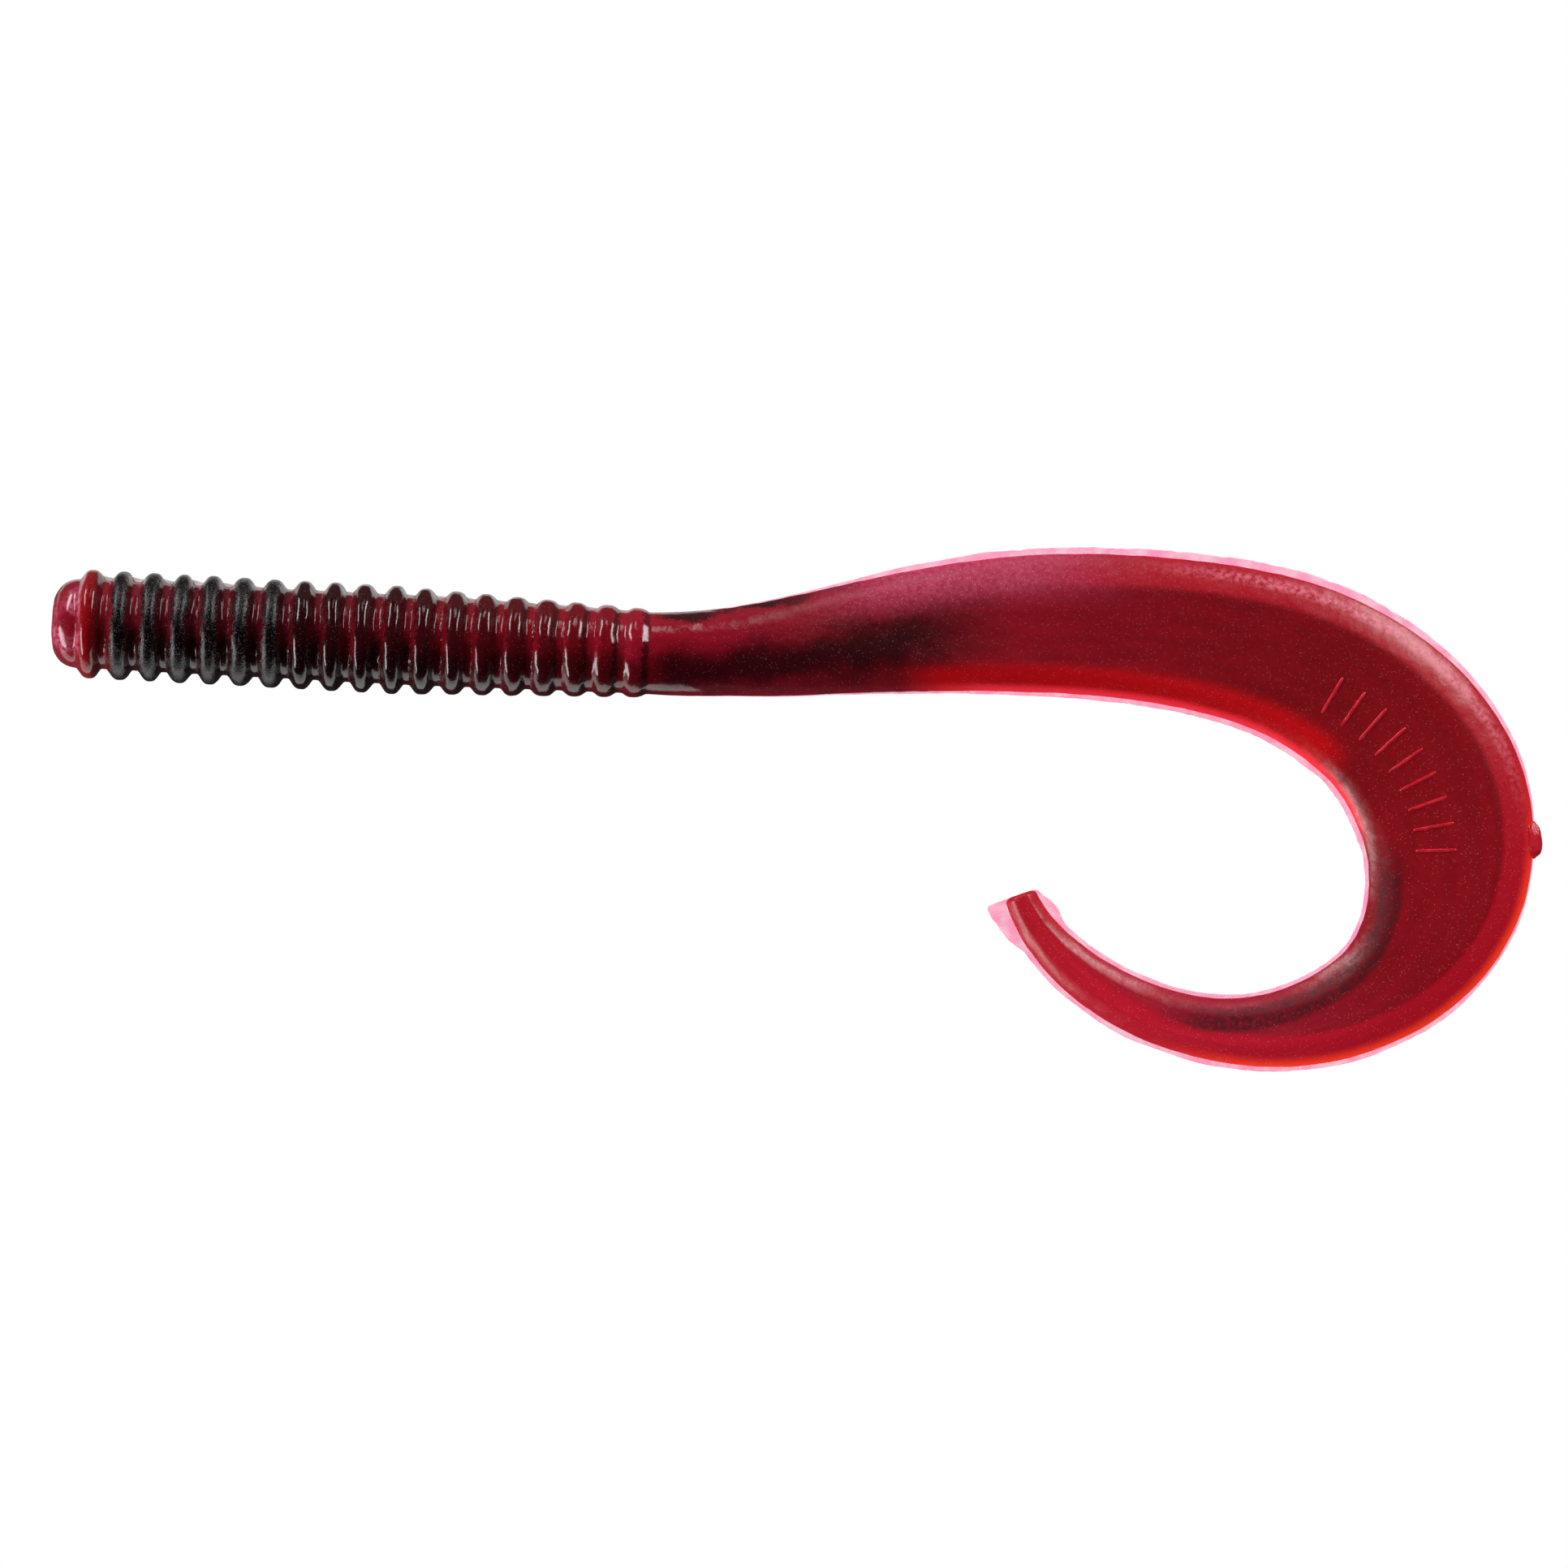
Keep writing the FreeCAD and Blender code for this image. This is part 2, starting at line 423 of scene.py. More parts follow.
class Bench:
    """Builds one node tree: each call adds a node, feeds its inputs, and gives back one of its outputs."""

    def __init__(self, tree):
        self.tree = tree

    def add(self, kind, inputs=(), output=0, **settings):
        node = self.tree.nodes.new(kind)
        for name, value in settings.items():
            setattr(node, name, value)
        sockets = [socket for socket in node.inputs if socket.enabled]
        if isinstance(inputs, dict):
            by_name = {socket.name: socket for socket in reversed(sockets)}
            pairs = [(by_name[name], value) for name, value in inputs.items()]
        else:
            pairs = list(zip(sockets, inputs))
        for socket, value in pairs:
            if isinstance(value, bpy.types.NodeSocket):
                self.tree.links.new(value, socket)
            else:
                socket.default_value = value
        outputs = [socket for socket in node.outputs if socket.enabled]
        if isinstance(output, int):
            return outputs[output]
        return next(socket for socket in outputs if socket.name == output)

    def math(self, operation, *values, clamp=False):
        return self.add("ShaderNodeMath", values, operation=operation, use_clamp=clamp)

    def times(self, first, *others):
        for other in others:
            first = self.math("MULTIPLY", first, other)
        return first

    def vector(self, operation, *values):
        return self.add("ShaderNodeVectorMath", values, operation=operation)

    def rise(self, value, low, high, bottom=0.0, top=1.0):
        """A smooth step from bottom at low to top at high."""
        inputs = (value, low, high, bottom, top)
        return self.add("ShaderNodeMapRange", inputs, interpolation_type="SMOOTHSTEP")

    def band(self, value, low, high, soft):
        """1 between low and high, and 0 outside them."""
        above_low = self.rise(value, low - soft, low + soft)
        below_high = self.rise(value, high + soft, high - soft)
        return self.times(above_low, below_high)

    def blend(self, factor, first, second):
        return self.add("ShaderNodeMix", (factor, first, second), data_type="RGBA")

    def attribute(self, name, output="Vector"):
        return self.add("ShaderNodeAttribute", output=output, attribute_name=name)

    def joined(self, *numbers):
        """A vector of three numbers."""
        return self.add("ShaderNodeCombineXYZ", numbers)

    def parts(self, vector):
        """The three numbers of a vector."""
        node = self.tree.nodes.new("ShaderNodeSeparateXYZ")
        self.tree.links.new(vector, node.inputs[0])
        return node.outputs[0], node.outputs[1], node.outputs[2]


def new_group(name, kind, inputs, outputs):
    """(tree, its input sockets by name, its output node). Inputs are (name, type, default)."""
    tree = bpy.data.node_groups.new(name, kind)
    for socket_name, socket_type, default in inputs:
        socket = tree.interface.new_socket(socket_name, in_out="INPUT", socket_type=socket_type)
        if default is not None:
            socket.default_value = default
    for socket_name, socket_type in outputs:
        tree.interface.new_socket(socket_name, in_out="OUTPUT", socket_type=socket_type)
    start = tree.nodes.new("NodeGroupInput")
    given = {socket.name: socket for socket in start.outputs if socket.name}
    return tree, given, tree.nodes.new("NodeGroupOutput")


# ---- geometry nodes


def moulded_run_tree():
    """A closed skin over a run of sections, with rings pressed into it, from its first row to its last."""
    tree, given, result = new_group(
        "Moulded run",
        "GeometryNodeTree",
        [
            ("Spine", "NodeSocketGeometry", None),
            ("Around", "NodeSocketInt", AROUND),
            ("First row", "NodeSocketInt", 0),
            ("Last row", "NodeSocketInt", 1),
            ("First crest", "NodeSocketFloat", CRESTS[0]),
            ("Ring pitch", "NodeSocketFloat", RING_PITCH),
            ("Ring count", "NodeSocketInt", len(CRESTS)),
            ("Flank half", "NodeSocketFloat", FLANK_HALF),
            ("Dome fullness", "NodeSocketFloat", DOME_FULLNESS),
            ("Foot softness", "NodeSocketFloat", FOOT_SOFTNESS),
            ("Ring wobble", "NodeSocketFloat", RING_WOBBLE),
            ("Unevenness", "NodeSocketFloat", UNEVENNESS),
            ("Seed", "NodeSocketFloat", 3.0),
            ("Material", "NodeSocketMaterial", None),
        ],
        [("Mesh", "NodeSocketGeometry")],
    )
    bench = Bench(tree)
    columns = bench.math("ADD", given["Around"], 1)
    last_step = bench.math("ADD", bench.math("SUBTRACT", given["Last row"], given["First row"]), 2)
    grid = bench.add(
        "GeometryNodeMeshGrid",
        {"Size X": 1.0, "Size Y": 1.0, "Vertices X": bench.math("ADD", last_step, 1), "Vertices Y": columns},
    )

    # Each end has one more row, drawn in to the section's middle, so that the skin is closed.
    index = bench.add("GeometryNodeInputIndex")
    step = bench.math("FLOOR", bench.math("DIVIDE", bench.math("ADD", index, 0.5), columns))
    column = bench.math("SUBTRACT", index, bench.math("MULTIPLY", step, columns))
    row = bench.math("ADD", bench.math("SUBTRACT", step, 1), given["First row"])
    row = bench.math("MINIMUM", bench.math("MAXIMUM", row, given["First row"]), given["Last row"])
    middle = bench.math("DIVIDE", last_step, 2)
    from_middle = bench.math("ABSOLUTE", bench.math("SUBTRACT", step, middle))
    is_skin = bench.math("LESS_THAN", from_middle, bench.math("SUBTRACT", middle, 0.5))

    def measure(name, kind="FLOAT"):
        if name == "position":
            value = bench.add("GeometryNodeInputPosition")
        else:
            value = bench.add("GeometryNodeInputNamedAttribute", {"Name": name}, data_type=kind)
        inputs = {"Geometry": given["Spine"], "Value": value, "Index": row}
        return bench.add("GeometryNodeSampleIndex", inputs, data_type=kind, domain="POINT")

    place = measure("position", "FLOAT_VECTOR")
    across = measure("across", "FLOAT_VECTOR")
    along = measure("along")
    half_width = measure("half_width")
    half_thickness = measure("half_thickness")

    # The section: flat on top between its bevels, or round where the bevels meet.
    turn = bench.math("MULTIPLY", bench.math("DIVIDE", column, given["Around"]), 2 * math.pi)
    cosine, sine = bench.math("COSINE", turn), bench.math("SINE", turn)
    roundness = measure("roundness")
    depth = bench.math("SIGN", sine)
    for operation, bevel in (("SUBTRACT", "outer_bevel"), ("ADD", "inner_bevel")):
        inwards = bench.math("DIVIDE", bench.math(operation, 1.0, cosine), measure(bevel), clamp=True)
        fall = bench.math("POWER", bench.math("SUBTRACT", 1.0, inwards), roundness)
        rise = bench.math("POWER", bench.math("SUBTRACT", 1.0, fall), bench.math("DIVIDE", 1.0, roundness))
        depth = bench.math("MULTIPLY", depth, rise)

    # The rings, with crests that stray a little from true circles.
    rough_place = bench.vector("ADD", place, bench.vector("SCALE", across, bench.times(cosine, half_width)))
    height = bench.joined(given["Seed"], 0.0, bench.times(depth, half_thickness))
    rough_place = bench.vector("ADD", rough_place, height)
    wobble = {"Vector": rough_place, "Scale": WOBBLES_PER_METRE, "Detail": 2.0}
    stray = bench.add("ShaderNodeTexNoise", wobble)
    strayed = bench.times(bench.math("SUBTRACT", stray, 0.5), given["Ring wobble"], 2.0)
    strayed = bench.math("ADD", along, strayed)
    nearest = bench.math("DIVIDE", bench.math("SUBTRACT", along, given["First crest"]), given["Ring pitch"])
    nearest = bench.math("MAXIMUM", bench.math("ROUND", nearest), 0.0)
    nearest = bench.math("MINIMUM", nearest, bench.math("SUBTRACT", given["Ring count"], 1))
    crest = bench.math("ADD", bench.times(nearest, given["Ring pitch"]), given["First crest"])
    off_crest = bench.math("ABSOLUTE", bench.math("SUBTRACT", strayed, crest))
    fallen = bench.math("POWER", bench.math("DIVIDE", off_crest, given["Flank half"]), given["Dome fullness"])
    relief = bench.math("SUBTRACT", 1.0, fallen, clamp=True)
    relief = bench.math("POWER", relief, given["Foot softness"])
    lift = bench.times(relief, measure("ring_height"))

    side = bench.times(bench.math("ADD", half_width, lift), cosine)
    level = bench.times(bench.math("ADD", half_thickness, lift), depth)
    offset = bench.vector("SCALE", across, side)
    offset = bench.vector("ADD", offset, bench.joined(0.0, 0.0, level))
    lump_size = {"Vector": rough_place, "Scale": LUMPS_PER_METRE, "Detail": 2.0}
    lumps = bench.add("ShaderNodeTexNoise", lump_size, output="Color")
    lumps = bench.vector("SCALE", bench.vector("SUBTRACT", lumps, (0.5, 0.5, 0.5)), given["Unevenness"])
    offset = bench.vector("ADD", offset, lumps)
    offset = bench.vector("SCALE", offset, is_skin)
    moved = {"Geometry": grid, "Position": bench.vector("ADD", place, offset)}
    skin = bench.add("GeometryNodeSetPosition", moved)

    def store(mesh, name, value, kind="FLOAT"):
        inputs = {"Geometry": mesh, "Name": name, "Value": value}
        return bench.add("GeometryNodeStoreNamedAttribute", inputs, data_type=kind, domain="POINT")

    ring = bench.math("ADD", bench.math("DIVIDE", bench.math("SUBTRACT", along, CRESTS[0]), RING_PITCH), 1)
    share = bench.math("DIVIDE", bench.math("SUBTRACT", along, BODY_END), TAIL_END - BODY_END, clamp=True)
    outer = bench.math("DIVIDE", bench.math("SUBTRACT", half_width, side), MM)
    inner = bench.math("DIVIDE", bench.math("ADD", half_width, side), MM)
    in_millimetres = bench.vector("SCALE", bench.add("GeometryNodeInputPosition"), 1 / MM)
    skin = store(skin, "rest", in_millimetres, "FLOAT_VECTOR")
    skin = store(skin, "place", bench.joined(ring, share, cosine), "FLOAT_VECTOR")
    skin = store(skin, "edges", bench.joined(outer, inner, relief), "FLOAT_VECTOR")
    skin = store(skin, "row", row)
    skin = store(skin, "column", column)
    skin = store(skin, "is_skin", is_skin)
    skin = bench.add("GeometryNodeMergeByDistance", {"Geometry": skin, "Distance": MERGE_DISTANCE})
    skin = bench.add("GeometryNodeSetShadeSmooth", {"Geometry": skin})
    skin = bench.add("GeometryNodeRealizeInstances", {"Geometry": skin})
    skin = bench.add("GeometryNodeSetMaterial", {"Geometry": skin, "Material": given["Material"]})
    tree.links.new(skin, result.inputs[0])
    return tree


def placed(name, data):
    """A new object in the scene."""
    made = bpy.data.objects.new(name, data)
    bpy.context.scene.collection.objects.link(made)
    return made


def grown(tree, base, name, **inputs):
    """The plain mesh object that a geometry tree makes from a base mesh."""
    holder = placed(name, base)
    modifier = holder.modifiers.new("grow", "NODES")
    modifier.node_group = tree
    for item in tree.interface.items_tree:
        key = item.name.lower().replace(" ", "_")
        if item.in_out == "INPUT" and key in inputs:
            modifier[item.identifier] = inputs[key]
    mesh = bpy.data.meshes.new_from_object(holder.evaluated_get(bpy.context.evaluated_depsgraph_get()))
    bpy.data.objects.remove(holder)
    return placed(name, mesh)


def values(mesh, name):
    """A float attribute of a mesh, as an array."""
    found = np.zeros(len(mesh.vertices), np.float32)
    mesh.attributes[name].data.foreach_get("value", found)
    return found


def grid_keys(mesh, around):
    """The number of each vertex's place in the whole run, by its row and column."""
    rows = np.rint(values(mesh, "row")).astype(int)
    columns = np.rint(values(mesh, "column")).astype(int) % around
    return rows * around + columns


def borrow_normals(mesh, whole, around):
    """Gives a piece the whole run's normals, so that its seams with its neighbours don't show."""
    normals = np.zeros((len(ROWS) * around, 3))
    whole_normals = np.zeros(len(whole.vertices) * 3, np.float32)
    whole.vertex_normals.foreach_get("vector", whole_normals)
    normals[grid_keys(whole, around)] = whole_normals.reshape(-1, 3)
    keys = grid_keys(mesh, around)
    is_skin = values(mesh, "is_skin") > 0.5
    loops = []
    for face in mesh.polygons:
        if all(is_skin[i] for i in face.vertices):
            loops += [tuple(normals[keys[i]]) for i in face.vertices]
        else:
            loops += [tuple(face.normal)] * len(face.vertices)
    mesh.normals_split_custom_set(loops)


# ---- what skins ride


def body_chain():
    """The bodies in order, from the nose to the tip."""
    children = {parent: child for child, parent in PARENTS.items()}
    chain = [ROOT_BODY]
    while chain[-1] in children:
        chain.append(children[chain[-1]])
    return chain


BODIES = body_chain()
FIRST_TAIL_BODY = len(RINGS)
PIECE_ENDS = [0.0, *SEAMS, TAIL_END]


def carry(piece, number):
    """Puts the first piece on the first body; any other piece keeps its place, with its transform baked into
    its mesh.
    """
    if number == 0:
        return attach(piece, BODIES[0])
    centre, across = midline(HINGES[number - 1])
    reach = across.cross(UP) * (TAIL_BEND if number >= FIRST_TAIL_BODY else RIB_BEND)
    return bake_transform(piece)


def nodes_behind(number):
    """The CAD nodes that a skin piece stands for. The neck's skin is part of the tail's first piece."""
    nodes = list(frame["record"]["behaviour"]["bodies"][BODIES[number]])
    if number == FIRST_TAIL_BODY:
        nodes.append("neck")
    return [node for node in nodes if node != "neck" or number == FIRST_TAIL_BODY]


def piece_number(along):
    return sum(1 for end in PIECE_ENDS[1:-1] if along > end)


def make_skins(material):
    """The worm's outside, one closed piece for each place where it flexes."""
    tree = moulded_run_tree()
    spine = skin_spine()
    last = len(ROWS) - 1
    whole = grown(tree, spine, "whole_skin", first_row=0, last_row=last, material=material)
    ends = [0, *SEAM_ROWS, last]
    for number, body in enumerate(BODIES):
        rows = {"first_row": ends[number], "last_row": ends[number + 1]}
        piece = grown(tree, spine, "moulded_" + body, material=material, **rows)
        borrow_normals(piece.data, whole.data, AROUND)
        carry(piece, number)
        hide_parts(*nodes_behind(number))
    bpy.data.objects.remove(whole)
    return tree


def make_flash(tree, material):
    """Thin clear film along the parting line: in the grooves on one side, and on both edges of the tail."""
    ends = [0, *SEAM_ROWS, len(ROWS) - 1]
    for side, side_name in ((1, "outer"), (-1, "inner")):
        spine = flash_spine(side)
        first = 1 if side > 0 else FIRST_TAIL_BODY
        for number in range(first, len(BODIES)):
            rows = {"first_row": ends[number], "last_row": ends[number + 1]}
            name = f"flash_{side_name}_{BODIES[number]}"
            film = grown(tree, spine, name, around=FLASH_AROUND, unevenness=0.0, material=material, **rows)
            carry(film, number)


# ---- raised marks, stub


def raised_bars_tree():
    """A rounded bar on each point of a mesh, turned by the point's own angle."""
    tree, given, result = new_group(
        "Raised bars",
        "GeometryNodeTree",
        [
            ("Points", "NodeSocketGeometry", None),
            ("Bar size", "NodeSocketVector", MARK_SIZE),
            ("Material", "NodeSocketMaterial", None),
        ],
        [("Mesh", "NodeSocketGeometry")],
    )
    bench = Bench(tree)
    block = {"Size": given["Bar size"], "Vertices X": 3, "Vertices Y": 5, "Vertices Z": 2}
    bar = bench.add("GeometryNodeMeshCube", block)
    bar = bench.add("GeometryNodeSubdivisionSurface", {"Mesh": bar, "Level": 2})
    turn = bench.add("GeometryNodeInputNamedAttribute", {"Name": "turn"}, data_type="FLOAT")
    rotation = bench.joined(0.0, 0.0, turn)
    inputs = {"Points": given["Points"], "Instance": bar, "Rotation": rotation}
    bars = bench.add("GeometryNodeInstanceOnPoints", inputs)
    bars = bench.add("GeometryNodeRealizeInstances", {"Geometry": bars})
    bars = bench.add("GeometryNodeSetShadeSmooth", {"Geometry": bars})
    bars = bench.add("GeometryNodeSetMaterial", {"Geometry": bars, "Material": given["Material"]})
    tree.links.new(bars, result.inputs[0])
    return tree


def make_raised_marks(material):
    """A row of plain raised bars on the tail's upper face, where the mould is marked."""
    tree = raised_bars_tree()
    low, high = (BODY_END + share * (TAIL_END - BODY_END) for share in MARK_SHARES)
    by_piece = {}
    for k in range(MARK_COUNT):
        along = low + (high - low) * k / (MARK_COUNT - 1)
        by_piece.setdefault(piece_number(along), []).append(along)
    for number, alongs in by_piece.items():
        mesh = bpy.data.meshes.new("mark_points")
        spots = []
        for along in alongs:
            centre, across = midline(along)
            top = section(along)[1] + centre.z
            spots.append((centre + across * MARK_OFFSET, math.atan2(across.y, across.x) - math.pi / 2, top))
        mesh.from_pydata([(spot.x, spot.y, top) for spot, turn, top in spots], [], [])
        turns = mesh.attributes.new("turn", "FLOAT", "POINT")
        turns.data.foreach_set("value", [turn for spot, turn, top in spots])
        bars = grown(tree, mesh, "raised_marks_" + BODIES[number], material=material)
        carry(bars, number)


def make_gate_stub(material):
    """The little torn stub that the mould's gate leaves on the tail's outer edge."""
    along = BODY_END + GATE_SHARE * (TAIL_END - BODY_END)
    centre, across = midline(along)
    place = centre + across * section(along)[0]
    shape = bmesh.new()
    bmesh.ops.create_icosphere(shape, subdivisions=4, radius=1.0)
    heading = across.cross(UP)
    for vertex in shape.verts:
        torn = 1 + 0.2 * noise.noise(vertex.co * 1.3) + 0.04 * noise.noise(vertex.co * 5)
        point = vertex.co * torn
        spot = place + heading * point.x * GATE_SIZE.x
        spot += across * point.y * GATE_SIZE.y
        vertex.co = spot + UP * point.z * GATE_SIZE.z
    mesh = bpy.data.meshes.new("gate_stub")
    shape.to_mesh(mesh)
    shape.free()
    mesh.shade_smooth()
    mesh.materials.append(material)
    stub = placed("gate_stub", mesh)
    carry(stub, piece_number(along))


# ---- materials


def shade(code):
    """A linear colour from a six-digit hex one."""
    channels = [int(code[i : i + 2], 16) / 255 for i in (0, 2, 4)]
    return (*(c / 12.92 if c <= 0.04045 else ((c + 0.055) / 1.055) ** 2.4 for c in channels), 1.0)


def pearl_flakes():
    """Pearl powder in the plastic: a mask of the flakes, whose glints are painted into the colour where the
    mask is used.
    """
    inputs = [
        ("Place", "NodeSocketVector", None),
        ("Flakes per mm", "NodeSocketFloat", 7.0),
        ("Share lit", "NodeSocketFloat", 0.06),
    ]
    tree, given, result = new_group("Pearl flakes", "ShaderNodeTree", inputs, [("Flakes", "NodeSocketFloat")])
    bench = Bench(tree)
    distance = bench.add("ShaderNodeTexVoronoi", {"Vector": given["Place"], "Scale": given["Flakes per mm"]})
    luck = bench.parts(distance.node.outputs["Color"])[0]
    lit = bench.math("GREATER_THAN", luck, bench.math("SUBTRACT", 1.0, given["Share lit"]))
    tree.links.new(bench.times(lit, bench.rise(distance, 0.55, 0.2)), result.inputs[0])
    return tree


def pigment_cloud():
    """Drifts of pigment in the poured plastic, drawn out along the worm."""
    inputs = [
        ("Place", "NodeSocketVector", None),
        ("Drifts per mm", "NodeSocketFloat", 0.3),
        ("Detail", "NodeSocketFloat", 4.0),
        ("Thin", "NodeSocketFloat", 0.35),
        ("Thick", "NodeSocketFloat", 0.65),
    ]
    outputs = [("Pigment", "NodeSocketFloat")]
    tree, given, result = new_group("Pigment cloud", "ShaderNodeTree", inputs, outputs)
    bench = Bench(tree)
    cloud = {"Vector": given["Place"], "Scale": given["Drifts per mm"], "Detail": given["Detail"]}
    drift = bench.add("ShaderNodeTexNoise", cloud)
    tree.links.new(bench.rise(drift, given["Thin"], given["Thick"]), result.inputs[0])
    return tree


def cast_grain():
    """The cast surface: fine grain, and slow waves where the plastic shrank in the mould."""
    inputs = [
        ("Place", "NodeSocketVector", None),
        ("Grain", "NodeSocketFloat", 0.3),
        ("Waves", "NodeSocketFloat", 0.5),
    ]
    tree, given, result = new_group("Cast grain", "ShaderNodeTree", inputs, [("Height", "NodeSocketFloat")])
    bench = Bench(tree)
    grain = bench.add("ShaderNodeTexNoise", {"Vector": given["Place"], "Scale": 6.0, "Detail": 3.0})
    waves = bench.add("ShaderNodeTexNoise", {"Vector": given["Place"], "Scale": 0.8, "Detail": 2.0})
    height = bench.math("ADD", bench.times(grain, given["Grain"]), bench.times(waves, given["Waves"]))
    tree.links.new(height, result.inputs[0])
    return tree


class Finish(Bench):
    """A plastic material in the making: its bench, its Principled shader, and the skin's own measures."""

    def __init__(self, name):
        self.material = bpy.data.materials.new(name)
        self.material.use_nodes = True
        super().__init__(self.material.node_tree)
        self.shader = self.tree.nodes["Principled BSDF"]
        self.rest = self.attribute("rest")
        self.ring, self.share, self.cross = self.parts(self.attribute("place"))
        self.outer, self.inner, self.relief = self.parts(self.attribute("edges"))

    def group(self, tree, **inputs):
        node = self.tree.nodes.new("ShaderNodeGroup")
        node.node_tree = tree
        for name, value in inputs.items():
            socket = node.inputs[name.replace("_", " ")]
            if isinstance(value, bpy.types.NodeSocket):
                self.tree.links.new(value, socket)
            else:
                socket.default_value = value
        return node.outputs[0]

    def ramp(self, value, stops):
        """The colour at a value, between (value, hex colour) stops."""
        low, high = stops[0][0], stops[-1][0]
        node = self.tree.nodes.new("ShaderNodeValToRGB")
        self.tree.links.new(self.add("ShaderNodeMapRange", (value, low, high, 0.0, 1.0)), node.inputs[0])
        while len(node.color_ramp.elements) < len(stops):
            node.color_ramp.elements.new(0.5)
        for element, (at, code) in zip(node.color_ramp.elements, stops):
            element.position = (at - low) / (high - low)
            element.color = shade(code)
        return node.outputs[0]

    def bump(self, height):
        """The shading of a height in millimetres."""
        return self.add("ShaderNodeBump", {"Strength": 1.0, "Distance": MM, "Height": height})

    def feed(self, **inputs):
        for name, value in inputs.items():
            socket = self.shader.inputs[name.replace("_", " ")]
            if isinstance(value, bpy.types.NodeSocket):
                self.tree.links.new(value, socket)
            else:
                socket.default_value = value


GROOVES = [
    (0.0, "a61c34"),
    (0.75, "a61a2e"),
    (1.0, "960e14"),
    (1.3, "8c1420"),
    (2.5, "7a1424"),
    (3.5, "5c0f1a"),
    (7.5, "500c16"),
    (9.0, "640c16"),
    (12.5, "760d18"),
    (15.5, "860d1c"),
    (19.0, "a01428"),
]
CRESTS_DYED = [
    (0.0, "a01e38"),
    (1.0, "960e14"),
    (1.5, "0c0808"),
    (7.5, "0c0808"),
    (8.0, "2c090c"),
    (12.0, "3c0a10"),
    (16.0, "620d16"),
    (18.0, "820d1a"),
    (19.0, "a0142a"),
]
TAIL_COLOURS = [
    (0.0, "a81628"),
    (0.06, "96142a"),
    (0.14, "86101e"),
    (0.25, "960f20"),
    (0.45, "860c14"),
    (0.7, "840c18"),
    (0.85, "9c1c30"),
    (1.0, "b41826"),
]
BLACK = shade("120709")


def ring_colour_with_painted_light(skin, fine, broad):
    """(colour, crest mask) of the ringed body: black or maroon crests, and crimson grooves between them, with
    painted shade on each groove's near side and a painted highlight on its far side.
    """
    wander = skin.times(skin.math("SUBTRACT", fine, 0.5), 0.4)
    crest = skin.rise(skin.math("ADD", skin.relief, wander), 0.6, 0.82)
    past_crest = skin.math("FRACT", skin.ring)
    is_nose = skin.rise(skin.ring, 1.05, 0.8)
    groove = skin.ramp(skin.ring, GROOVES)
    # Painted shade: each groove's near side, next to the crest before it, is darkened.
    painted_groove_shade = skin.times(skin.band(past_crest, 0.12, 0.42, 0.08), skin.rise(skin.ring, 0.9, 1.4), 0.7)
    groove = skin.blend(painted_groove_shade, groove, shade("1c0508"))
    # Painted highlight: a lighter crimson on each groove's far side, towards the upper side.
    painted_groove_highlight = skin.times(skin.band(past_crest, 0.5, 0.72, 0.06), fine, skin.rise(skin.cross, -0.4, 0.3), 0.3)
    groove = skin.blend(painted_groove_highlight, groove, shade("981e38"))
    groove = skin.blend(skin.times(is_nose, broad, 0.6), groove, shade("780a1a"))
    patches = skin.times(is_nose, fine, skin.rise(broad, 0.75, 0.2), 0.8)
    groove = skin.blend(patches, groove, shade("e8749a"))
    colour = skin.blend(crest, groove, skin.ramp(skin.ring, CRESTS_DYED))
    low_side = skin.math("ADD", skin.cross, skin.times(skin.math("SUBTRACT", broad, 0.5), 0.5))
    past_nose = skin.rise(skin.ring, 0.9, 2.5)
    fading = skin.rise(skin.ring, 10, 15, 0.82, 0.6)
    low_side = skin.times(skin.rise(low_side, 0.15, -0.5), past_nose, fading)
    return skin.blend(low_side, colour, BLACK), crest


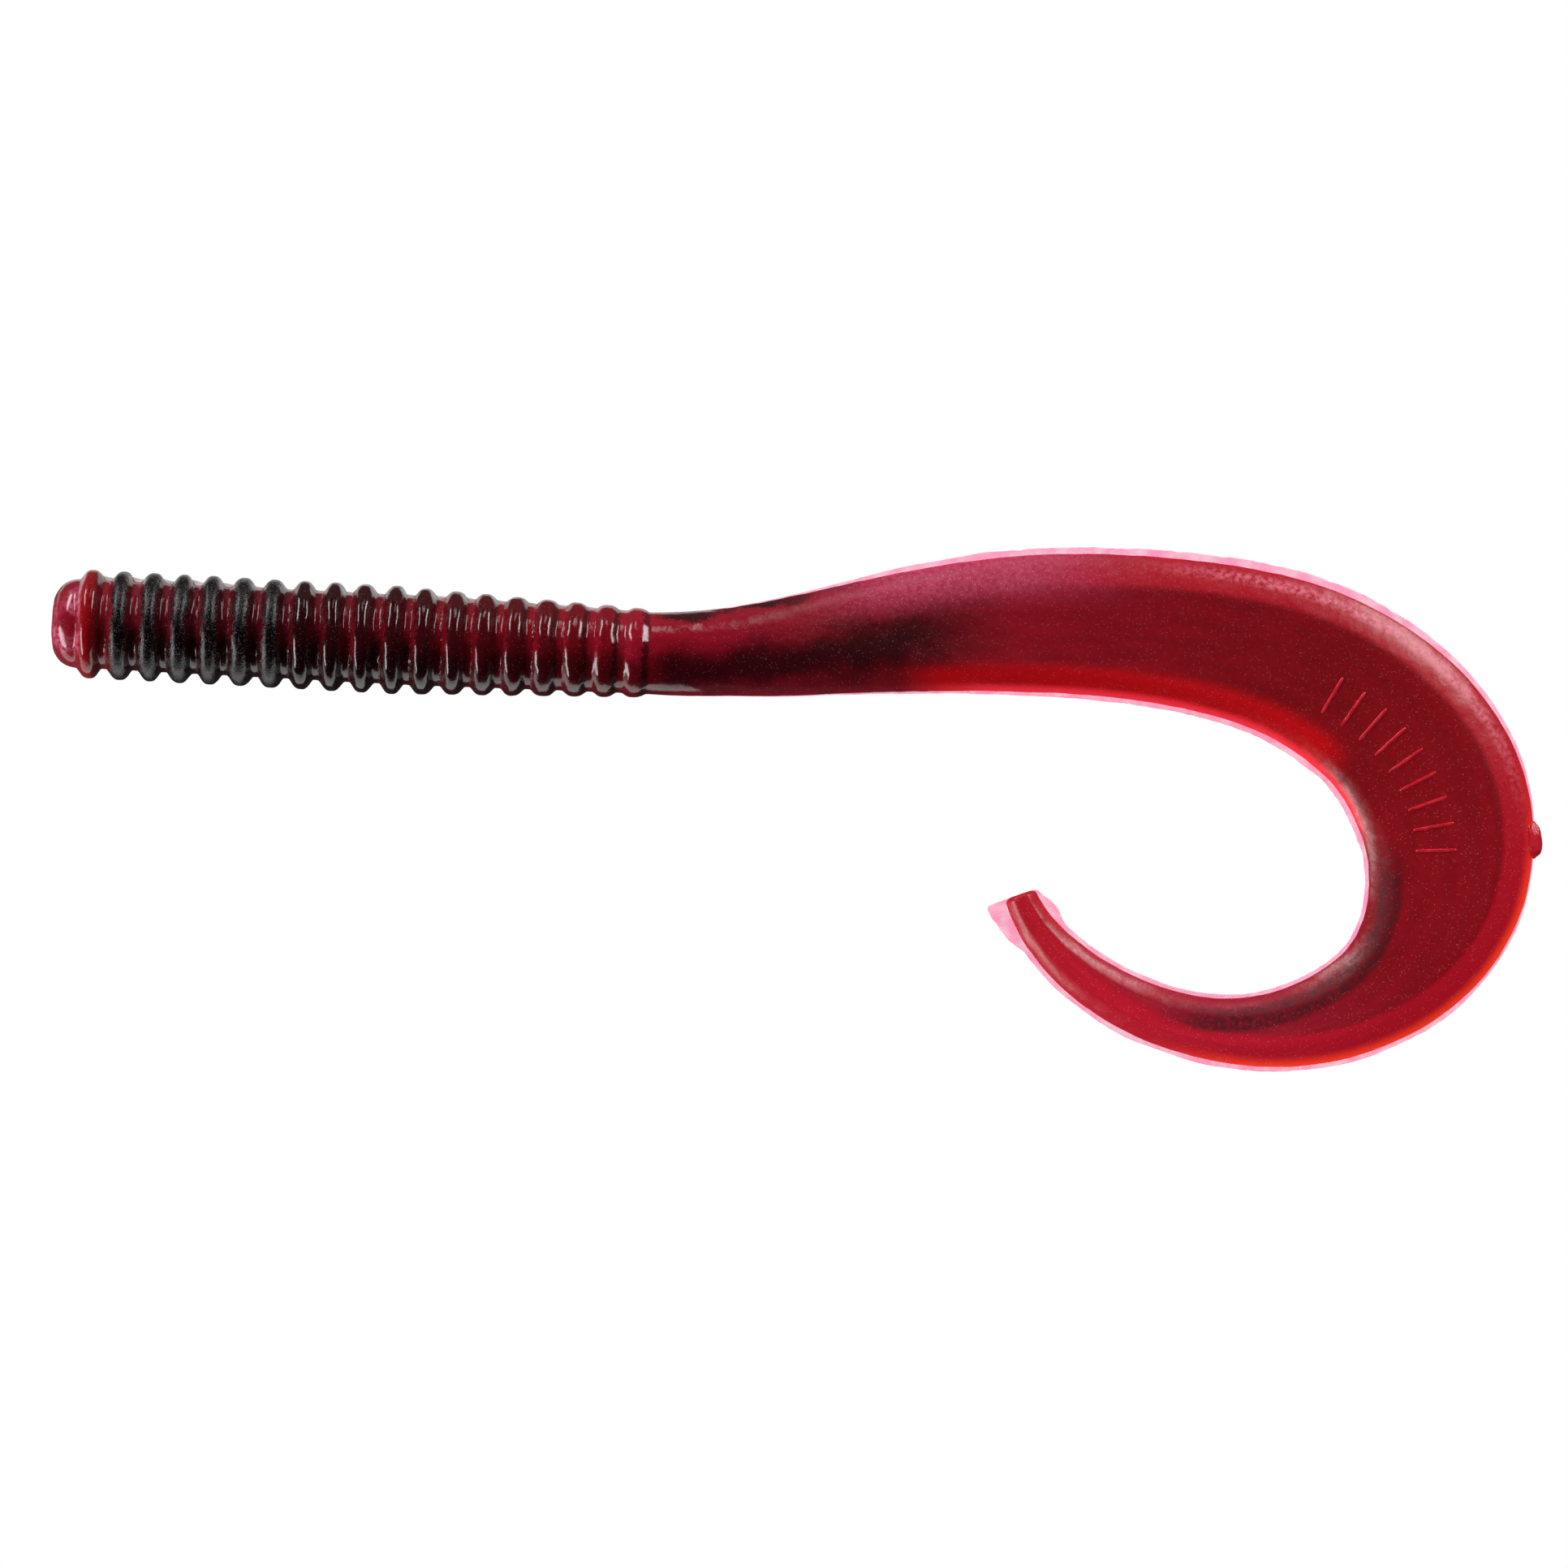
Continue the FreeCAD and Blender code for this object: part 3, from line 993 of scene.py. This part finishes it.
def tail_colour_with_painted_light(skin, fine, broad, streaks):
    """The tail's colour: deep red, a black cloud at its root, pearl with a painted sheen above it, a darker
    band along its inner edge, and painted highlights and painted glow at its edges.
    """
    colour = skin.ramp(skin.share, TAIL_COLOURS)
    colour = skin.blend(skin.times(streaks, 0.4), colour, shade("640a12"))
    wander = skin.math("ADD", skin.times(skin.math("SUBTRACT", broad, 0.5), 0.28), skin.cross)
    wander = skin.math("ADD", skin.times(skin.math("SUBTRACT", fine, 0.5), 0.08), wander)
    middle = skin.add("ShaderNodeMapRange", (skin.share, 0.0, 0.22, -0.5, -0.05))
    off_middle = skin.math("ABSOLUTE", skin.math("SUBTRACT", wander, middle))
    cloud = skin.times(skin.rise(off_middle, 0.9, 0.05), skin.rise(skin.share, 0.25, 0.17), 0.88)
    colour = skin.blend(cloud, colour, shade("1e0609"))
    red_corner = skin.times(skin.rise(skin.cross, -0.5, -0.75), skin.band(skin.share, 0.18, 0.5, 0.02))
    colour = skin.blend(skin.times(red_corner, 0.85), colour, shade("d00c14"))
    # Pearl with a painted sheen: a paler pink band over the upper side of the tail's root.
    pearl = skin.times(skin.rise(skin.cross, 0.1, 0.8), skin.band(skin.share, 0.14, 0.3, 0.05))
    drifting = skin.math("ADD", 0.35, skin.times(fine, 0.3))
    colour = skin.blend(skin.times(pearl, drifting), colour, shade("d04870"))
    top_streak = skin.times(skin.rise(wander, 0.76, 0.92), skin.rise(skin.share, 0.16, 0.08), 0.85)
    colour = skin.blend(top_streak, colour, BLACK)
    # Painted light: a lighter red on the outer bevel, for light through the thin edge.
    bevel = skin.times(skin.rise(skin.outer, 2.8, 2.2), skin.band(skin.share, 0.3, 0.95, 0.06))
    colour = skin.blend(skin.times(bevel, 0.6), colour, shade("c01428"))
    # Painted highlight: a pale pink streak along the outer bevel.
    painted_bevel_highlight = skin.times(skin.band(skin.outer, 0.5, 1.3, 0.3), skin.band(skin.share, 0.36, 0.56, 0.05), fine)
    colour = skin.blend(skin.times(painted_bevel_highlight, 0.7), colour, shade("f07890"))
    # Painted glow: orange-red along the outer edge further along the tail.
    glow = skin.times(skin.rise(skin.outer, 1.0, 0.05), skin.band(skin.share, 0.6, 0.84, 0.05))
    colour = skin.blend(skin.times(glow, 0.85), colour, shade("f0381c"))
    # Painted glow: bright red along the inner edge of the tail's upper stretch.
    inner_glow = skin.times(skin.rise(skin.inner, 0.8, 0.2), skin.band(skin.share, 0.2, 0.58, 0.04))
    colour = skin.blend(skin.times(inner_glow, 0.8), colour, shade("f03040"))
    # A darker band along the inner edge, towards the tip.
    inner_dark_band = skin.times(skin.band(skin.share, 0.62, 0.86, 0.03), skin.band(skin.inner, 0.8, 2.7, 0.35))
    inner_dark_band = skin.times(inner_dark_band, skin.math("ADD", 0.35, skin.times(fine, 0.6)), 0.72)
    edge_light = skin.math("MAXIMUM", skin.times(glow, 0.25), skin.times(inner_glow, 0.3))
    return skin.blend(inner_dark_band, colour, shade("34101a")), inner_dark_band, pearl, edge_light


def moulded_plastisol():
    """The worm's own plastic: clear crimson with pearl, black pigment drifting through it, and its gloss,
    with painted shade, highlights, glints and glow.
    """
    skin = Finish("moulded_plastisol")
    cloud, flakes, grain = pigment_cloud(), pearl_flakes(), cast_grain()
    fine = skin.group(cloud, Place=skin.rest, Drifts_per_mm=2.6, Thin=0.3, Thick=0.7)
    broad = skin.group(cloud, Place=skin.rest, Drifts_per_mm=0.35, Detail=1.5, Thin=0.25, Thick=0.75)
    streaks = skin.joined(skin.times(skin.share, 18.0), skin.times(skin.cross, 5.0), 0.0)
    streaks = skin.group(cloud, Place=streaks, Drifts_per_mm=1.0, Thin=0.25, Thick=0.75)
    is_tail = skin.rise(skin.share, 0.0, 0.02)
    rings, crest = ring_colour_with_painted_light(skin, fine, broad)
    tail, inner_dark_band, pearl, edge_light = tail_colour_with_painted_light(skin, fine, broad, streaks)
    colour = skin.blend(is_tail, rings, tail)
    # Pearl flakes, with their glints painted in as pale pink specks, stronger on the pearl's painted sheen.
    flake_glints = skin.group(flakes, Place=skin.rest, Flakes_per_mm=11.0, Share_lit=0.06)
    shine = skin.math("ADD", 0.2, skin.times(pearl, 0.4))
    colour = skin.blend(skin.times(flake_glints, shine), colour, shade("f0a0bc"))
    black_crest = skin.times(crest, skin.band(skin.ring, 1.5, 7.5, 0.1))
    # Painted glints: grey specks on the black crests, where their grit catches the light.
    silver_glints = skin.group(flakes, Place=skin.rest, Flakes_per_mm=11.0, Share_lit=0.3)
    colour = skin.blend(skin.times(silver_glints, black_crest, fine, 0.5), colour, shade("a8a0a4"))

    rough = skin.rise(skin.share, 0.02, 0.14, 0.14, 0.34)
    rough = skin.math("ADD", rough, skin.times(black_crest, 0.03))
    rough = skin.math("ADD", rough, skin.times(inner_dark_band, 0.2))
    rough = skin.math("ADD", rough, skin.times(skin.math("SUBTRACT", fine, 0.5), 0.1))

    # The heights are the cast surface, the black crests' grit, and a thin ridge in each groove.
    height = skin.group(grain, Place=skin.rest, Grain=0.007, Waves=0.04)
    grit = skin.group(grain, Place=skin.vector("SCALE", skin.rest, 1.9), Grain=0.035, Waves=0.0)
    height = skin.math("ADD", height, skin.times(black_crest, grit))
    off_ridge = skin.math("SUBTRACT", skin.math("FRACT", skin.ring), 0.63)
    off_ridge = skin.math("ADD", off_ridge, skin.times(skin.math("SUBTRACT", fine, 0.5), 0.05))
    ridge = skin.rise(skin.math("ABSOLUTE", off_ridge), 0.05, 0.0)
    ridge = skin.times(ridge, skin.band(skin.ring, 1.2, 17.5, 0.2), skin.rise(broad, 0.1, 0.5), 0.05)
    height = skin.math("ADD", height, ridge)
    skin.feed(Base_Color=colour, Roughness=rough, Normal=skin.bump(height), IOR=1.5)

    # Painted glow, as emission, that stands for light coming through the clear plastic: more where it is
    # thin, and most at the tail's edges.
    at_root = skin.rise(skin.share, 0.0, 0.1, 0.08, 0.3)
    further_on = skin.rise(skin.share, 0.4, 0.65, 0.0, 0.3)
    through = skin.math("ADD", at_root, further_on)
    through = skin.times(skin.math("ADD", through, edge_light), skin.math("SUBTRACT", 1.0, inner_dark_band))
    skin.feed(Emission_Color=colour, Emission_Strength=through)
    return skin.material


def clear_film():
    """The flash: plastic so thin that it is nearly clear, pink on the tail and greyer on the body, with a
    painted glow on the tail.
    """
    film = Finish("clear_film")
    drift = film.group(pigment_cloud(), Place=film.rest, Drifts_per_mm=0.8, Thin=0.3, Thick=0.7)
    on_tail = film.rise(film.share, 0.0, 0.05)
    colour = film.blend(on_tail, shade("b88890"), shade("ff62a8"))
    alpha = film.math("ADD", 0.3, film.times(drift, 0.2))
    height = film.group(cast_grain(), Place=film.rest, Grain=0.02, Waves=0.05)
    bump = film.bump(height)
    # Painted glow on the tail's film, as emission, for light coming through it.
    glow = film.times(on_tail, 0.5)
    film.feed(Base_Color=colour, Roughness=0.12, Alpha=alpha, Normal=bump, IOR=1.5)
    film.feed(Emission_Color=colour, Emission_Strength=glow)
    return film.material


def mark_plastisol():
    """The same red plastic on the raised marks and the stub, rubbed shiny, with a painted glow."""
    mark = Finish("mark_plastisol")
    place = mark.vector("SCALE", mark.add("ShaderNodeTexCoord", output="Object"), 1 / MM)
    drift = mark.group(pigment_cloud(), Place=place, Drifts_per_mm=1.5, Thin=0.3, Thick=0.7)
    colour = mark.blend(drift, shade("a01420"), shade("bc2030"))
    height = mark.group(cast_grain(), Place=place, Grain=0.02, Waves=0.05)
    bump = mark.bump(height)
    mark.feed(Base_Color=colour, Roughness=mark.rise(drift, 0.0, 1.0, 0.18, 0.3), Normal=bump, IOR=1.5)
    # Painted glow, as emission, that lightens the marks and the stub.
    mark.feed(Emission_Color=colour, Emission_Strength=0.6)
    return mark.material


# ---- studio


def lay_flat(name, low, high, height, whiteness, glow):
    """A level sheet between two corners. It gives light and is mirrored, but the camera looks through it."""
    corners = [(low.x, low.y), (high.x, low.y), (high.x, high.y), (low.x, high.y)]
    mesh = bpy.data.meshes.new(name)
    mesh.from_pydata([(x, y, height) for x, y in corners], [], [(0, 1, 2, 3)])
    material = bpy.data.materials.new("white_" + name)
    material.use_nodes = True
    shader = material.node_tree.nodes["Principled BSDF"]
    shader.inputs["Base Color"].default_value = (whiteness, whiteness, whiteness, 1)
    shader.inputs["Roughness"].default_value = 0.9
    shader.inputs["Emission Color"].default_value = (1, 1, 1, 1)
    shader.inputs["Emission Strength"].default_value = glow
    mesh.materials.append(material)
    sheet = placed(name, mesh)
    sheet.visible_camera = False


def make_table():
    """The table that the worm lies on, with a glowing card on each side of the ringed body."""
    low, high = cad_box
    middle = (low + high) / 2
    half = Vector((TABLE_SIZE, TABLE_SIZE, 0)) / 2
    lay_flat("table", middle - half, middle + half, low.z - TABLE_GAP, TABLE_WHITE, 0.0)
    for name, (near, far, glow) in (("front_card", FRONT_CARD), ("back_card", BACK_CARD)):
        card_low = Vector((CARD_START, near, 0))
        card_high = Vector((BODY_END + CARD_OVERHANG, far, 0))
        lay_flat(name, card_low, card_high, low.z - TABLE_GAP / 2, TABLE_WHITE, glow)


def make_softbox(name, offset, width, height, brightness, lean):
    """A rectangular softbox that faces the worm's middle from an offset to it, and leans by an angle."""
    middle = (cad_box[0] + cad_box[1]) / 2
    light = bpy.data.lights.new(name, "AREA")
    light.shape = "RECTANGLE"
    light.size = width
    light.size_y = height
    light.energy = brightness * math.pi * width * height
    softbox = placed(name, light)
    softbox.location = middle + Vector(offset)
    softbox.rotation_mode = "QUATERNION"
    facing = Vector(offset).to_track_quat("Z", "Y")
    softbox.rotation_quaternion = facing @ Quaternion((0, 0, 1), math.radians(lean))
    softbox.visible_camera = False


def make_room_light():
    """A dim room, with a plain white backdrop."""
    world = bpy.data.worlds.new("studio")
    world.use_nodes = True
    bpy.context.scene.world = world
    bench = Bench(world.node_tree)
    looked_at = bench.add("ShaderNodeLightPath", output="Is Camera Ray")
    level = bench.math("MAXIMUM", ROOM_LEVEL, looked_at)
    background = world.node_tree.nodes["Background"]
    background.inputs["Color"].default_value = (1, 1, 1, 1)
    world.node_tree.links.new(level, background.inputs["Strength"])


def make_camera():
    """A long lens that looks straight down, turned a little against the worm."""
    middle = (cad_box[0] + cad_box[1]) / 2
    lens = bpy.data.cameras.new("camera")
    lens.sensor_width = SENSOR_WIDTH
    lens.lens = SENSOR_WIDTH * CAMERA_DISTANCE / VIEW_WIDTH
    lens.clip_start = 0.01
    camera = placed("camera", lens)
    camera.location = middle + VIEW_OFFSET + UP * CAMERA_DISTANCE
    camera.rotation_euler = (0, 0, math.radians(CAMERA_TURN))
    bpy.context.scene.camera = camera


make_camera()
make_room_light()
make_table()
for softbox_measures in SOFTBOXES:
    make_softbox(*softbox_measures)
bpy.context.scene.view_settings.view_transform = "Standard"

run_tree = make_skins(moulded_plastisol())
make_flash(run_tree, clear_film())
mark_material = mark_plastisol()
make_raised_marks(mark_material)
make_gate_stub(mark_material)
